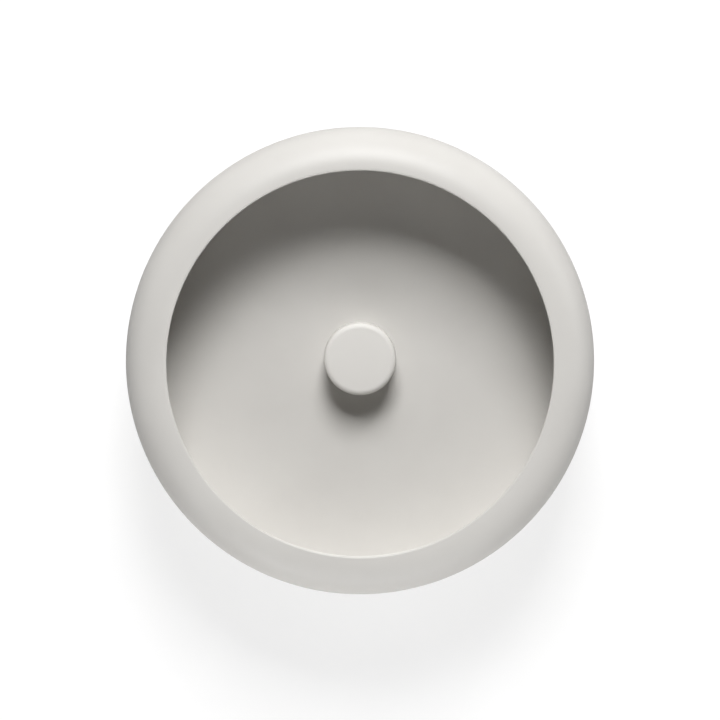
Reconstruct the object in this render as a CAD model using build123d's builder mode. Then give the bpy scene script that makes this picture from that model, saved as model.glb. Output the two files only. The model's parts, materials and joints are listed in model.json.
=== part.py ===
from build123d import *
import math
import os

# Cordless bowl lamp, 250 mm size. Millimetres, +Z from the resting plane towards the open dish, origin on the
# lamp's axis at the plane its foot ring stands on. The charging port is on the -Y side.

# Outside shape
OUTER_R = 125.0  # widest radius of the rolled rim
HEIGHT = 80.0  # crest of the rim above the resting plane
WIDEST_Z = 57.5  # height of the widest line
DISH_R = 103.0  # radius of the opening
DISH_FOOT_R = 107.8  # radius of the dish floor; its wall leans out under the lip
FLOOR_Z = 27.0  # top of the dish floor
DISH_FILLET = 0.5  # where the dish floor turns up into its wall
LIP_R = 1.0  # inner edge of the rim
WALL = 2.4  # moulded wall thickness
FIT_GAP = 0.1  # between parts that locate each other
BURY = 1.0  # how far posts and blocks reach into what they stand on
SAME = 0.01  # lengths closer than this are the same
BASE_R = 90.0  # where the flat base turns up into the bowl
BASE_Z = 2.0  # outside of the flat base

# Welded joint between the rim and the dish, hidden under the lip
JOINT_Z = 72.0
JOINT_STEP = 2.0

# Parting line between the rim and the rear shell
PART_Z = 54.0
TONGUE_R = 123.4  # outside of the locating tongue on the rear shell
TONGUE_T = 2.0
TONGUE_TOP_Z = 56.5
SEAL_T = 0.8
SEAM = 0.3  # small chamfer each side of the parting line

# Wall disc and its recess in the base
RECESS_R = 37.0
RECESS_Z = 8.0
DISC_R = 36.0
DISC_T = 5.6
DISC_EDGE = 0.5
PAD_T = 0.9
PAD_OUT_R = 33.5
PAD_IN_R = 8.0
PAD_HOLE_GAP = 0.2
KEEPER_R = 34.0
KEEPER_T = 1.5
KEEPER_EDGE = 0.3
MAGNET_R = 5.0
MAGNET_T = 2.6
MAGNET_RING_R = 26.0
MAGNETS = 6
WALL_SCREW_X = 20.0  # half the distance between the two wall screws
WALL_SCREW_R = 2.25
WALL_HEAD_R = 4.4
WALL_HEAD_T = 3.0
DISC_HOLLOW_OUT_R = 33.0  # shallow hollow in the back of the wall disc, crossed by ribs
DISC_HOLLOW_IN_R = 9.0
DISC_HOLLOW_T = 1.0
DISC_RIB_T = 1.6
DISC_SCREW_BOSS_R = 6.0

# Blank rating plate on the base
PLATE_W = 30.0
PLATE_H = 12.0
PLATE_T = 0.25
PLATE_RECESS = 0.35
PLATE_Y = 48.5
PLATE_GAP = 0.3
PLATE_CORNER = 1.5

# Foot ring
FOOT_IN_R = 60.0
FOOT_OUT_R = 67.0
FOOT_GROOVE = 0.8
FOOT_EDGE = 1.2

# Screws between the shells
BOSS_RING_R = 78.0
BOSS_R = 4.0
BOSS_END_Z = 7.0
BOSS_HOLE_DEPTH = 14.0
SHELL_SCREWS = 6
SHELL_SCREW_R = 1.5
SHELL_SCREW_L = 13.0
SHELL_HEAD_R = 2.9
SHELL_HEAD_T = 2.0
SHELL_SEAT_Z = 4.6
SHELL_HEAD_EDGE = 0.5
SEAT_GAP = 0.3  # round the screw heads
SEAT_WALL = 1.2
DRIVE_W = 3.2  # cross recess in the screw heads
DRIVE_SLOT = 0.8
DRIVE_DEPTH = 1.2

# Core under the button
GUIDE_R = 17.5
GUIDE_T = 4.0
GUIDE_TOP_Z = 33.5
GUIDE_HOLE_R = 17.6
GUIDE_FLANGE_R = 21.0
GUIDE_EDGE = 0.5
GUIDE_SEAL_INSET = 0.4
SEAL_RING_T = 1.0
GUIDE_FLANGE_T = 1.2
LED_T = 0.7
LED_SIZE = 3.0
LEDS = 12
LED_BOARD_R = 30.0
LED_BOARD_T = 1.2
CORE_FLANGE_R = 27.0
CORE_FLANGE_T = 1.5
CORE_TUBE_R = 6.0
CORE_TUBE_TOP_Z = 31.5
CORE_SCREW_RING_R = 24.0
CORE_SCREW_L = 6.0
CORE_BOSS_R = 2.6
CORE_HOLE_DEPTH = 3.8
BOARD_HOLE_R = 10.0  # hole in the middle of the ring board, round the spring
SCREWS_PER_CORE = 4

# Small screws used inside
SMALL_SCREW_R = 1.1
SMALL_SCREW_GAP = 0.1
SMALL_HEAD_R = 2.2
SMALL_HEAD_T = 1.5
SMALL_HEAD_EDGE = 0.4

# Button
KNOB_R = 19.3
KNOB_TOP_Z = 46.0
KNOB_CROWN = 0.4  # rise of its slightly domed face
KNOB_TOP_T = 3.0
KNOB_SLOPE = 2.0  # inner slope between the bore and the underside of the top
KNOB_EDGE = 0.4
KNOB_FACE_R = 16.3
KNOB_SHOULDER_Z = 43.4
KNOB_SKIRT_Z = 32.0
KNOB_BORE_R = 17.9
STEM_R = 4.0
STEM_TIP_R = 3.0
STEM_EDGE = 0.3
STEM_GAP = 0.05
CLIP_R = 6.0
CLIP_T = 0.6
CLIP_MOUTH = 3.6
TRAVEL = 1.0
SPRING_R = 8.0
SPRING_WIRE_R = 0.45
SPRING_TURNS = 6

# Electronics
BOARD_T = 1.6
MAIN_BOARD_Z = 11.0
MAIN_BOARD_X = 68.0
MAIN_BOARD_Y = 46.0
MAIN_POST_X = 29.0
MAIN_POST_Y = 10.0
MAIN_POST_R = 2.5
MAIN_SCREW_L = 3.0
MAIN_BOARD_CORNER = 3.0
CONNECTOR_X = 20.0
CONNECTOR_Y = 17.0
CONNECTOR_T = 4.0
CONNECTOR_DEPTH = 6.0
CELL_CONNECTOR_W = 8.0
LAMP_CONNECTOR_W = 12.0
CHIP_T = 1.1
CONTROLLER_AT = (16, 2)
CONTROLLER_SIZE = 7.0
CHARGER_AT = (-20, 4)
CHARGER_W = 5.0
CHARGER_H = 6.0
INDUCTOR_AT = (-13, -6)
INDUCTOR_R = 3.5
SWITCH_SIZE = 6.0
SWITCH_T = 3.2
SWITCH_CORNER = 0.5
PLUNGER_T = 0.8
PLUNGER_R = 1.7
PORT_Z = 22.0  # middle of the charging port
PORT_FACE_Y = 111.5  # depth of the pocket floor, as a distance from the axis
PORT_BLOCK_Y = 106.0
PORT_BLOCK_X = 35.0
PORT_BLOCK_H = 15.0
PORT_BLOCK_Z = 21.5
PORT_RELIEF_R = 110.8  # room for the corner of the dish behind the port block
PORT_RELIEF_Z = 24.3
PORT_W = 14.0
PORT_H = 8.0
PORT_GAP = 0.1
SOCKET_W = 8.9
SOCKET_H = 3.2
SOCKET_L = 8.5
SOCKET_INSET = 0.8
SOCKET_T = 0.3
SOCKET_DEPTH = 6.0
SOCKET_TONGUE_W = 6.7
SOCKET_TONGUE_T = 0.7
PORT_BOARD_X = 32.0
PORT_BOARD_Y = 20.0
PORT_SCREWS = [(-9, -90), (9, -90)]
PORT_POST_R = 3.0
PORT_SCREW_L = 6.0
PIPE_X = 13.5
PIPE_R = 1.2
PIPE_END_Y = 104.4
CHARGE_LED_L = 2.0
CHARGE_LED_T = 2.8
SCOOP_R = 6.0  # half-moon nail scoop above the flap
SCOOP_Y = 123.6
SCOOP_Z = 24.1
FLAP_T = 2.0
THROUGH = 20.0  # a cut or a blank long enough to pass right through the wall

# Batteries
CELL_R = 9.2
CELL_L = 65.2
CELL_EDGE = 0.6
CELL_X = 55.0
CELL_Z = 14.9
TAB_T = 0.2
TAB_W = 10.0
TAB_H = 14.0
CRADLE_X = 22.4
CRADLE_END = 3.2
CRADLE_POST_Y = 40.0
CRADLE_POST_R = 3.5
CRADLE_POST_H = 4.0
CRADLE_TONGUE_W = 9.0
CRADLE_TONGUE_T = 2.0
CRADLE_SCREW_L = 5.0
CRADLE_TONGUE_END = 4.0  # past the middle of the post
CRADLE_POST_GAP = 0.5
CRADLE_HEAD_GAP = 0.8
CRADLE_HEAD_ROOM = 6.0

# Wires
LEAD_R = 0.8
FINE_LEAD_R = 0.6

UNDER_FLOOR_Z = FLOOR_Z - WALL
BASE_TOP_Z = BASE_Z + WALL
CEILING_TOP_Z = RECESS_Z + WALL
INNER_R = OUTER_R - WALL
CREST_R = DISH_R + LIP_R
GUIDE_FLANGE_Z = UNDER_FLOOR_Z - SEAL_RING_T - GUIDE_FLANGE_T
LED_BOARD_TOP_Z = GUIDE_FLANGE_Z - LED_T
LED_BOARD_Z = LED_BOARD_TOP_Z - LED_BOARD_T
CORE_FLANGE_Z = LED_BOARD_Z - CORE_FLANGE_T
MAIN_TOP_Z = MAIN_BOARD_Z + BOARD_T
PLUNGER_TOP_Z = MAIN_TOP_Z + SWITCH_T + PLUNGER_T
STEM_END_Z = PLUNGER_TOP_Z + TRAVEL
KNOB_CEILING_Z = KNOB_TOP_Z - KNOB_TOP_T
KNOB_TUBE_Z = GUIDE_TOP_Z + 1.0
KNOB_SOCKET_Z = KNOB_CEILING_Z + 0.5
PORT_BOARD_TOP_Z = PORT_Z - SOCKET_H / 2
PORT_BOARD_END_Y = PORT_BLOCK_Y - FIT_GAP

os.makedirs("parts", exist_ok=True)


def bowl_solid(inset):
    """The lower bowl as a solid of revolution, its outside moved inwards by inset."""
    with BuildPart() as bowl:
        with BuildSketch(Plane.XZ):
            with BuildLine():
                side = EllipticalCenterArc(
                    (BASE_R, WIDEST_Z),
                    OUTER_R - BASE_R - inset,
                    WIDEST_Z - BASE_Z - inset,
                    start_angle=-90,
                    arc_size=90,
                )
                Line(side @ 1, (0, WIDEST_Z))
                Line((0, WIDEST_Z), (0, BASE_Z + inset))
                Line((0, BASE_Z + inset), side @ 0)
            make_face()
        revolve(axis=Axis.Z)
    return bowl.part


def outermost_edge_at(part, z):
    """The widest circular edge of a part at height z."""
    level = part.edges().filter_by(GeomType.CIRCLE).filter_by_position(Axis.Z, z - SAME, z + SAME)
    return level.sort_by(SortBy.RADIUS)[-1]


def wall_r(z):
    """Inside radius of the dish wall at height z."""
    return DISH_R + (DISH_FOOT_R - DISH_R) * (HEIGHT - LIP_R - z) / (HEIGHT - LIP_R - FLOOR_Z)


def round_edge_at(part, radius, z):
    """The circular edge of a part with this radius, at height z."""
    level = part.edges().filter_by(GeomType.CIRCLE).filter_by_position(Axis.Z, z - SAME, z + SAME)
    return [edge for edge in level if abs(edge.radius - radius) < SAME]


# ---- Rim: rolled ring, from the lip over the widest line down to the parting line ----

part_angle = math.degrees(math.asin((WIDEST_Z - PART_Z) / (WIDEST_Z - BASE_Z)))
step_r = TONGUE_R + FIT_GAP
step_z = TONGUE_TOP_Z + SEAL_T
joint_top_z = JOINT_Z + JOINT_STEP
joint_mid_r = wall_r(JOINT_Z) + WALL / 2
joint_out_r = wall_r(joint_top_z) + WALL

with BuildPart() as rim_ring:
    with BuildSketch(Plane.XZ):
        with BuildLine():
            lip = CenterArc((CREST_R, HEIGHT - LIP_R), LIP_R, 180, -90)
            EllipticalCenterArc(
                (CREST_R, WIDEST_Z), OUTER_R - CREST_R, HEIGHT - WIDEST_Z, start_angle=90, arc_size=-90
            )
            skirt = EllipticalCenterArc(
                (BASE_R, WIDEST_Z), OUTER_R - BASE_R, WIDEST_Z - BASE_Z, start_angle=0, arc_size=-part_angle
            )
            Polyline(skirt @ 1, (step_r, PART_Z), (step_r, step_z), (INNER_R, step_z), (INNER_R, WIDEST_Z))
            roof = EllipticalCenterArc(
                (DISH_R + WALL, WIDEST_Z),
                OUTER_R - DISH_R - 2 * WALL,
                HEIGHT - WIDEST_Z - WALL,
                start_angle=0,
                arc_size=90,
            )
            Polyline(
                roof @ 1,
                (joint_out_r, joint_top_z),
                (joint_mid_r, joint_top_z),
                (joint_mid_r, JOINT_Z),
                (wall_r(JOINT_Z), JOINT_Z),
                lip @ 0,
            )
        make_face()
    revolve(axis=Axis.Z)
    # seam chamfer along the outside of the parting line
    chamfer(outermost_edge_at(rim_ring, PART_Z), SEAM)

rim_ring.part.label = "rim_ring"
export_step(rim_ring.part, "parts/rim_ring.step")


# ---- Dish: floor, leaning wall, bosses under the floor ----

corner_r = wall_r(UNDER_FLOOR_Z) + WALL

with BuildPart() as dish_shell:
    with BuildSketch(Plane.XZ):
        with BuildLine():
            Polyline(
                (GUIDE_HOLE_R, FLOOR_Z),
                (DISH_FOOT_R, FLOOR_Z),
                (wall_r(JOINT_Z), JOINT_Z),
                (joint_mid_r, JOINT_Z),
                (joint_mid_r, joint_top_z),
                (joint_out_r, joint_top_z),
                (corner_r, UNDER_FLOOR_Z),
                (GUIDE_HOLE_R, UNDER_FLOOR_Z),
                close=True,
            )
        make_face()
    revolve(axis=Axis.Z)
    fillet(round_edge_at(dish_shell, DISH_FOOT_R, FLOOR_Z), DISH_FILLET)
    fillet(round_edge_at(dish_shell, corner_r, UNDER_FLOOR_Z), WALL)
    # long bosses that take the shell screws
    with BuildSketch(Plane.XY.offset(BOSS_END_Z)):
        with PolarLocations(BOSS_RING_R, SHELL_SCREWS):
            Circle(BOSS_R)
    extrude(amount=UNDER_FLOOR_Z - BOSS_END_Z + WALL / 2)
    with BuildSketch(Plane.XY.offset(BOSS_END_Z)):
        with PolarLocations(BOSS_RING_R, SHELL_SCREWS):
            Circle(SHELL_SCREW_R)
    extrude(amount=BOSS_HOLE_DEPTH, mode=Mode.SUBTRACT)
    # short bosses that hold the core
    with BuildSketch(Plane.XY.offset(LED_BOARD_TOP_Z)):
        with PolarLocations(CORE_SCREW_RING_R, SCREWS_PER_CORE, start_angle=45):
            Circle(CORE_BOSS_R)
    extrude(amount=UNDER_FLOOR_Z - LED_BOARD_TOP_Z + WALL / 2)
    with BuildSketch(Plane.XY.offset(LED_BOARD_TOP_Z)):
        with PolarLocations(CORE_SCREW_RING_R, SCREWS_PER_CORE, start_angle=45):
            Circle(SMALL_SCREW_R)
    extrude(amount=CORE_HOLE_DEPTH, mode=Mode.SUBTRACT)

dish_shell.part.label = "dish_shell"
export_step(dish_shell.part, "parts/dish_shell.step")


# ---- Rear shell: bowl, flat base, recess for the wall disc, charging port ----

tongue_in_r = TONGUE_R - TONGUE_T
inner_a = OUTER_R - BASE_R - WALL
inner_b = WIDEST_Z - BASE_Z - WALL
tongue_angle = math.degrees(math.acos((tongue_in_r - BASE_R) / inner_a))

with BuildPart() as port_block:
    with BuildSketch(Plane.XZ.offset(PORT_BLOCK_Y)):
        with Locations((0, PORT_BLOCK_Z)):
            Rectangle(PORT_BLOCK_X, PORT_BLOCK_H)
    extrude(amount=THROUGH)
    add(bowl_solid(WALL / 2), mode=Mode.INTERSECT)
    with BuildSketch(Plane.XY.offset(PORT_RELIEF_Z)):
        Circle(PORT_RELIEF_R)
    extrude(amount=THROUGH, mode=Mode.SUBTRACT)

with BuildPart() as rear_shell:
    with BuildSketch(Plane.XZ):
        with BuildLine():
            Polyline((0, RECESS_Z), (RECESS_R, RECESS_Z), (RECESS_R, BASE_Z), (BASE_R, BASE_Z))
            bowl_side = EllipticalCenterArc(
                (BASE_R, WIDEST_Z),
                OUTER_R - BASE_R,
                WIDEST_Z - BASE_Z,
                start_angle=-90,
                arc_size=90 - part_angle,
            )
            inner_side = EllipticalCenterArc(
                (BASE_R, WIDEST_Z), inner_a, inner_b, start_angle=-tongue_angle, arc_size=tongue_angle - 90
            )
            Polyline(
                bowl_side @ 1,
                (TONGUE_R, PART_Z),
                (TONGUE_R, TONGUE_TOP_Z),
                (tongue_in_r, TONGUE_TOP_Z),
                inner_side @ 0,
            )
            Polyline(
                inner_side @ 1,
                (RECESS_R + WALL, BASE_TOP_Z),
                (RECESS_R + WALL, CEILING_TOP_Z),
                (0, CEILING_TOP_Z),
                (0, RECESS_Z),
            )
        make_face()
    revolve(axis=Axis.Z)
    # groove the foot ring is seated in
    with BuildSketch(Plane.XY.offset(BASE_Z)):
        Circle(FOOT_OUT_R)
        Circle(FOOT_IN_R, mode=Mode.SUBTRACT)
    extrude(amount=FOOT_GROOVE, mode=Mode.SUBTRACT)
    # shallow recess for the rating plate
    with BuildSketch(Plane.XY.offset(BASE_Z)):
        with Locations((0, PLATE_Y)):
            RectangleRounded(PLATE_W + 2 * PLATE_GAP, PLATE_H + 2 * PLATE_GAP, PLATE_CORNER + PLATE_GAP)
    extrude(amount=PLATE_RECESS, mode=Mode.SUBTRACT)
    # seats for the shell screws
    with BuildSketch(Plane.XY.offset(BASE_TOP_Z - WALL / 2)):
        with PolarLocations(BOSS_RING_R, SHELL_SCREWS):
            Circle(BOSS_R + SEAT_WALL)
    extrude(amount=BOSS_END_Z - BASE_TOP_Z + WALL / 2)
    with BuildSketch(Plane.XY.offset(BASE_Z)):
        with PolarLocations(BOSS_RING_R, SHELL_SCREWS):
            Circle(SHELL_HEAD_R + SEAT_GAP)
    extrude(amount=SHELL_SEAT_Z - BASE_Z, mode=Mode.SUBTRACT)
    with BuildSketch(Plane.XY.offset(SHELL_SEAT_Z)):
        with PolarLocations(BOSS_RING_R, SHELL_SCREWS):
            Circle(SHELL_SCREW_R + FIT_GAP)
    extrude(amount=BOSS_END_Z - SHELL_SEAT_Z, mode=Mode.SUBTRACT)
    # posts under the main board, the port board and the battery cradles
    with BuildSketch(Plane.XY.offset(CEILING_TOP_Z - BURY)):
        with GridLocations(2 * MAIN_POST_X, 2 * MAIN_POST_Y, 2, 2):
            Circle(MAIN_POST_R)
    extrude(amount=MAIN_BOARD_Z - CEILING_TOP_Z + BURY)
    with BuildSketch(Plane.XY.offset(BASE_TOP_Z - BURY)):
        with Locations(PORT_SCREWS):
            Circle(PORT_POST_R)
    extrude(amount=PORT_BOARD_TOP_Z - BOARD_T - BASE_TOP_Z + BURY)
    with BuildSketch(Plane.XY.offset(BASE_TOP_Z - BURY)):
        with GridLocations(2 * CELL_X, 2 * CRADLE_POST_Y, 2, 2):
            Circle(CRADLE_POST_R)
    extrude(amount=CRADLE_POST_H + BURY)
    # blind holes for the screws in those posts
    with BuildSketch(Plane.XY.offset(MAIN_BOARD_Z)):
        with GridLocations(2 * MAIN_POST_X, 2 * MAIN_POST_Y, 2, 2):
            Circle(SMALL_SCREW_R)
    extrude(amount=-BOARD_T, mode=Mode.SUBTRACT)
    with BuildSketch(Plane.XY.offset(PORT_BOARD_TOP_Z - BOARD_T)):
        with Locations(PORT_SCREWS):
            Circle(SMALL_SCREW_R)
    extrude(amount=-PORT_SCREW_L, mode=Mode.SUBTRACT)
    with BuildSketch(Plane.XY.offset(BASE_TOP_Z + CRADLE_POST_H)):
        with GridLocations(2 * CELL_X, 2 * CRADLE_POST_Y, 2, 2):
            Circle(SMALL_SCREW_R)
    extrude(amount=CRADLE_TONGUE_T - CRADLE_SCREW_L, mode=Mode.SUBTRACT)
    # charging port: block behind the wall, pocket for the flap, mouth for the socket, bore for the light pipe
    add(port_block.part)
    with BuildSketch(Plane.XZ.offset(PORT_FACE_Y)):
        with Locations((0, PORT_Z)):
            SlotOverall(PORT_W, PORT_H)
    extrude(amount=THROUGH, mode=Mode.SUBTRACT)
    with BuildSketch(Plane.XZ.offset(PORT_BLOCK_Y - BURY)):
        with Locations((0, PORT_Z)):
            SlotOverall(SOCKET_W + FIT_GAP, SOCKET_H + FIT_GAP)
        with Locations((PIPE_X, PORT_Z)):
            Circle(PIPE_R)
    extrude(amount=THROUGH, mode=Mode.SUBTRACT)
    with Locations((0, -SCOOP_Y, SCOOP_Z)):
        Sphere(SCOOP_R, mode=Mode.SUBTRACT)
    chamfer(outermost_edge_at(rear_shell, PART_Z), SEAM)
    mouth_edges = rear_shell.edges().filter_by(GeomType.CIRCLE).group_by(Axis.Z)[0]
    chamfer([edge for edge in mouth_edges if abs(edge.radius - RECESS_R) < SAME], 2 * SEAM)

rear_shell.part.label = "rear_shell"
export_step(rear_shell.part, "parts/rear_shell.step")


with BuildPart() as shell_seal:
    with BuildSketch(Plane.XY.offset(TONGUE_TOP_Z)):
        Circle(TONGUE_R)
        Circle(TONGUE_R - TONGUE_T + 2 * FIT_GAP, mode=Mode.SUBTRACT)
    extrude(amount=SEAL_T)

shell_seal.part.label = "shell_seal"
export_step(shell_seal.part, "parts/shell_seal.step")


with BuildPart() as shell_screws:
    with BuildSketch(Plane.XY.offset(SHELL_SEAT_Z)):
        with PolarLocations(BOSS_RING_R, SHELL_SCREWS):
            Circle(SHELL_HEAD_R)
    extrude(amount=-SHELL_HEAD_T)
    with BuildSketch(Plane.XY.offset(SHELL_SEAT_Z)):
        with PolarLocations(BOSS_RING_R, SHELL_SCREWS):
            Circle(SHELL_SCREW_R)
    extrude(amount=SHELL_SCREW_L)
    chamfer(shell_screws.edges().group_by(Axis.Z)[0], SHELL_HEAD_EDGE)
    with BuildSketch(Plane.XY.offset(SHELL_SEAT_Z - SHELL_HEAD_T)):
        with PolarLocations(BOSS_RING_R, SHELL_SCREWS):
            Rectangle(DRIVE_W, DRIVE_SLOT)
            Rectangle(DRIVE_SLOT, DRIVE_W)
    extrude(amount=DRIVE_DEPTH, mode=Mode.SUBTRACT)

shell_screws.part.label = "shell_screws"
export_step(shell_screws.part, "parts/shell_screws.step")


with BuildPart() as foot_ring:
    with BuildSketch():
        Circle(FOOT_OUT_R)
        Circle(FOOT_IN_R, mode=Mode.SUBTRACT)
    extrude(amount=BASE_Z + FOOT_GROOVE)
    fillet(foot_ring.edges().group_by(Axis.Z)[0], FOOT_EDGE)

foot_ring.part.label = "foot_ring"
export_step(foot_ring.part, "parts/foot_ring.step")


with BuildPart() as rating_plate:
    with BuildSketch(Plane.XY.offset(BASE_Z + PLATE_RECESS)):
        with Locations((0, PLATE_Y)):
            RectangleRounded(PLATE_W, PLATE_H, PLATE_CORNER)
    extrude(amount=-PLATE_T)

rating_plate.part.label = "rating_plate"
export_step(rating_plate.part, "parts/rating_plate.step")


# ---- Button: cap, stem, spring and clip ----

with BuildPart() as knob_cap:
    with BuildSketch(Plane.XZ):
        with BuildLine():
            crown = ThreePointArc(
                (0, KNOB_TOP_Z),
                (KNOB_FACE_R / 2, KNOB_TOP_Z - KNOB_CROWN / 4),
                (KNOB_FACE_R, KNOB_TOP_Z - KNOB_CROWN),
            )
            shoulder = EllipticalCenterArc(
                (KNOB_FACE_R, KNOB_SHOULDER_Z),
                KNOB_R - KNOB_FACE_R,
                KNOB_TOP_Z - KNOB_CROWN - KNOB_SHOULDER_Z,
                start_angle=90,
                arc_size=-90,
            )
            Polyline(
                shoulder @ 1,
                (KNOB_R, KNOB_SKIRT_Z),
                (KNOB_BORE_R, KNOB_SKIRT_Z),
                (KNOB_BORE_R, KNOB_CEILING_Z - KNOB_SLOPE),
                (KNOB_BORE_R - KNOB_SLOPE, KNOB_CEILING_Z),
                (CORE_TUBE_R, KNOB_CEILING_Z),
                (CORE_TUBE_R, KNOB_TUBE_Z),
                (STEM_TIP_R, KNOB_TUBE_Z),
                (STEM_TIP_R, KNOB_SOCKET_Z),
                (0, KNOB_SOCKET_Z),
                crown @ 0,
            )
        make_face()
    revolve(axis=Axis.Z)
    chamfer(knob_cap.edges().group_by(Axis.Z)[0].sort_by(SortBy.RADIUS)[-1], KNOB_EDGE)

knob_cap.part.label = "knob_cap"
export_step(knob_cap.part, "parts/knob_cap.step")


groove_top_z = CORE_FLANGE_Z
groove_bottom_z = CORE_FLANGE_Z - CLIP_T

with BuildPart() as knob_stem:
    with BuildSketch(Plane.XY.offset(STEM_END_Z)):
        Circle(STEM_R)
    extrude(amount=KNOB_TUBE_Z - STEM_END_Z)
    with BuildSketch(Plane.XY.offset(KNOB_TUBE_Z)):
        Circle(STEM_TIP_R)
    extrude(amount=KNOB_CEILING_Z - KNOB_TUBE_Z)
    with BuildSketch(Plane.XY.offset(groove_bottom_z)):
        Circle(STEM_R)
        Circle(STEM_TIP_R, mode=Mode.SUBTRACT)
    extrude(amount=groove_top_z - groove_bottom_z, mode=Mode.SUBTRACT)
    chamfer(knob_stem.edges().group_by(Axis.Z)[0], STEM_EDGE)

knob_stem.part.label = "knob_stem"
export_step(knob_stem.part, "parts/knob_stem.step")


with BuildPart() as stem_clip:
    with BuildSketch(Plane.XY.offset(groove_bottom_z)):
        Circle(CLIP_R)
        Circle(STEM_TIP_R, mode=Mode.SUBTRACT)
        Rectangle(CLIP_MOUTH, 2 * CLIP_R, align=(Align.CENTER, Align.MIN), mode=Mode.SUBTRACT)
    extrude(amount=groove_top_z - groove_bottom_z)

stem_clip.part.label = "stem_clip"
export_step(stem_clip.part, "parts/stem_clip.step")


spring_bottom_z = CORE_FLANGE_Z + CORE_FLANGE_T + SPRING_WIRE_R
spring_height = KNOB_CEILING_Z - SPRING_WIRE_R - spring_bottom_z

with BuildPart() as return_spring:
    with BuildLine():
        coil = Helix(
            pitch=spring_height / SPRING_TURNS,
            height=spring_height,
            radius=SPRING_R,
            center=(0, 0, spring_bottom_z),
        )
    with BuildSketch(Plane(origin=coil @ 0, z_dir=coil % 0)):
        Circle(SPRING_WIRE_R)
    sweep(is_frenet=True)

return_spring.part.label = "return_spring"
export_step(return_spring.part, "parts/return_spring.step")


# ---- Light core under the button ----

with BuildPart() as light_guide:
    with BuildSketch(Plane.XY.offset(GUIDE_FLANGE_Z)):
        Circle(GUIDE_FLANGE_R)
        Circle(GUIDE_R - GUIDE_T, mode=Mode.SUBTRACT)
    extrude(amount=GUIDE_FLANGE_T)
    with BuildSketch(Plane.XY.offset(GUIDE_FLANGE_Z)):
        Circle(GUIDE_R)
        Circle(GUIDE_R - GUIDE_T, mode=Mode.SUBTRACT)
    extrude(amount=GUIDE_TOP_Z - GUIDE_FLANGE_Z)
    fillet(light_guide.edges().group_by(Axis.Z)[-1], GUIDE_EDGE)

light_guide.part.label = "light_guide"
export_step(light_guide.part, "parts/light_guide.step")


with BuildPart() as guide_seal:
    with BuildSketch(Plane.XY.offset(UNDER_FLOOR_Z - SEAL_RING_T)):
        Circle(GUIDE_FLANGE_R - GUIDE_SEAL_INSET)
        Circle(GUIDE_R + FIT_GAP, mode=Mode.SUBTRACT)
    extrude(amount=SEAL_RING_T)

guide_seal.part.label = "guide_seal"
export_step(guide_seal.part, "parts/guide_seal.step")


with BuildPart() as led_board:
    with BuildSketch(Plane.XY.offset(LED_BOARD_Z)):
        Circle(LED_BOARD_R)
        Circle(BOARD_HOLE_R, mode=Mode.SUBTRACT)
        with PolarLocations(CORE_SCREW_RING_R, SCREWS_PER_CORE, start_angle=45):
            Circle(SMALL_SCREW_R + SMALL_SCREW_GAP, mode=Mode.SUBTRACT)
    extrude(amount=LED_BOARD_T)

led_board.part.label = "led_board"
export_step(led_board.part, "parts/led_board.step")


with BuildPart() as leds:
    with BuildSketch(Plane.XY.offset(LED_BOARD_TOP_Z)):
        with PolarLocations(GUIDE_R - GUIDE_T / 2, LEDS):
            Rectangle(LED_SIZE, LED_SIZE)
    extrude(amount=LED_T)

leds.part.label = "leds"
export_step(leds.part, "parts/leds.step")


with BuildPart() as core_bushing:
    with BuildSketch(Plane.XY.offset(CORE_FLANGE_Z)):
        Circle(CORE_FLANGE_R)
        with PolarLocations(CORE_SCREW_RING_R, SCREWS_PER_CORE, start_angle=45):
            Circle(SMALL_SCREW_R + SMALL_SCREW_GAP, mode=Mode.SUBTRACT)
    extrude(amount=CORE_FLANGE_T)
    with BuildSketch(Plane.XY.offset(CORE_FLANGE_Z)):
        Circle(CORE_TUBE_R)
    extrude(amount=CORE_TUBE_TOP_Z - CORE_FLANGE_Z)
    with BuildSketch(Plane.XY.offset(CORE_FLANGE_Z)):
        Circle(STEM_R + STEM_GAP)
    extrude(amount=CORE_TUBE_TOP_Z - CORE_FLANGE_Z, mode=Mode.SUBTRACT)

core_bushing.part.label = "core_bushing"
export_step(core_bushing.part, "parts/core_bushing.step")


with BuildPart() as core_screws:
    with BuildSketch(Plane.XY.offset(CORE_FLANGE_Z)):
        with PolarLocations(CORE_SCREW_RING_R, SCREWS_PER_CORE, start_angle=45):
            Circle(SMALL_HEAD_R)
    extrude(amount=-SMALL_HEAD_T)
    with BuildSketch(Plane.XY.offset(CORE_FLANGE_Z)):
        with PolarLocations(CORE_SCREW_RING_R, SCREWS_PER_CORE, start_angle=45):
            Circle(SMALL_SCREW_R)
    extrude(amount=CORE_SCREW_L)
    chamfer(core_screws.edges().group_by(Axis.Z)[0], SMALL_HEAD_EDGE)

core_screws.part.label = "core_screws"
export_step(core_screws.part, "parts/core_screws.step")


# ---- Main board, switch and their fixings ----

with BuildPart() as main_board:
    with BuildSketch(Plane.XY.offset(MAIN_BOARD_Z)):
        RectangleRounded(MAIN_BOARD_X, MAIN_BOARD_Y, MAIN_BOARD_CORNER)
        with GridLocations(2 * MAIN_POST_X, 2 * MAIN_POST_Y, 2, 2):
            Circle(SMALL_SCREW_R + SMALL_SCREW_GAP, mode=Mode.SUBTRACT)
    extrude(amount=BOARD_T)

main_board.part.label = "main_board"
export_step(main_board.part, "parts/main_board.step")


with BuildPart() as tact_switch:
    with BuildSketch(Plane.XY.offset(MAIN_TOP_Z)):
        RectangleRounded(SWITCH_SIZE, SWITCH_SIZE, SWITCH_CORNER)
    extrude(amount=SWITCH_T)
    with BuildSketch(Plane.XY.offset(MAIN_TOP_Z + SWITCH_T)):
        Circle(PLUNGER_R)
    extrude(amount=PLUNGER_T)

tact_switch.part.label = "tact_switch"
export_step(tact_switch.part, "parts/tact_switch.step")


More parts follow.
